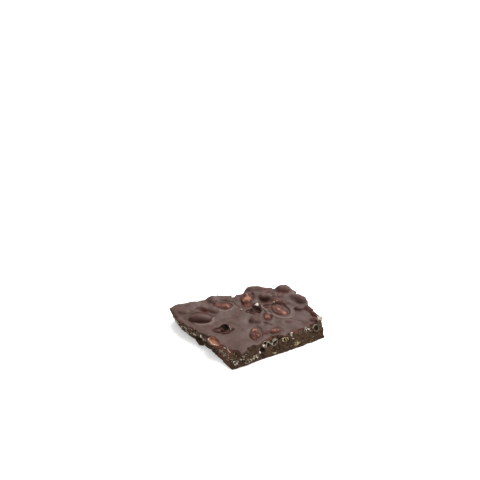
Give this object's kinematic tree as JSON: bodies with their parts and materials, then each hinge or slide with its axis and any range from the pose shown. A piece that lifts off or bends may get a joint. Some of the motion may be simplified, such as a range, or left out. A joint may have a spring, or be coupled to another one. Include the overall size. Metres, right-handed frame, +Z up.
{
  "type": "chocolate bark",
  "caption": "Broken flat piece of dark chocolate bark with puffed rice under its lumpy top and cut grains showing on its rough broken sides.",
  "frame": {"origin": "middle of the piece's box, on the flat underside", "axes": "+X along the straight front break, +Z up from the flat underside; the lumpy top faces +Z"},
  "size_m": [0.0538, 0.0444, 0.0085],
  "materials": {
    "dark_chocolate": "satin dark chocolate, dull on the breaks",
    "puffed_rice": "dry porous puffed grain"
  },
  "bodies": {
    "root": {"chocolate_bark": "dark_chocolate"}
  },
  "joints": []
}
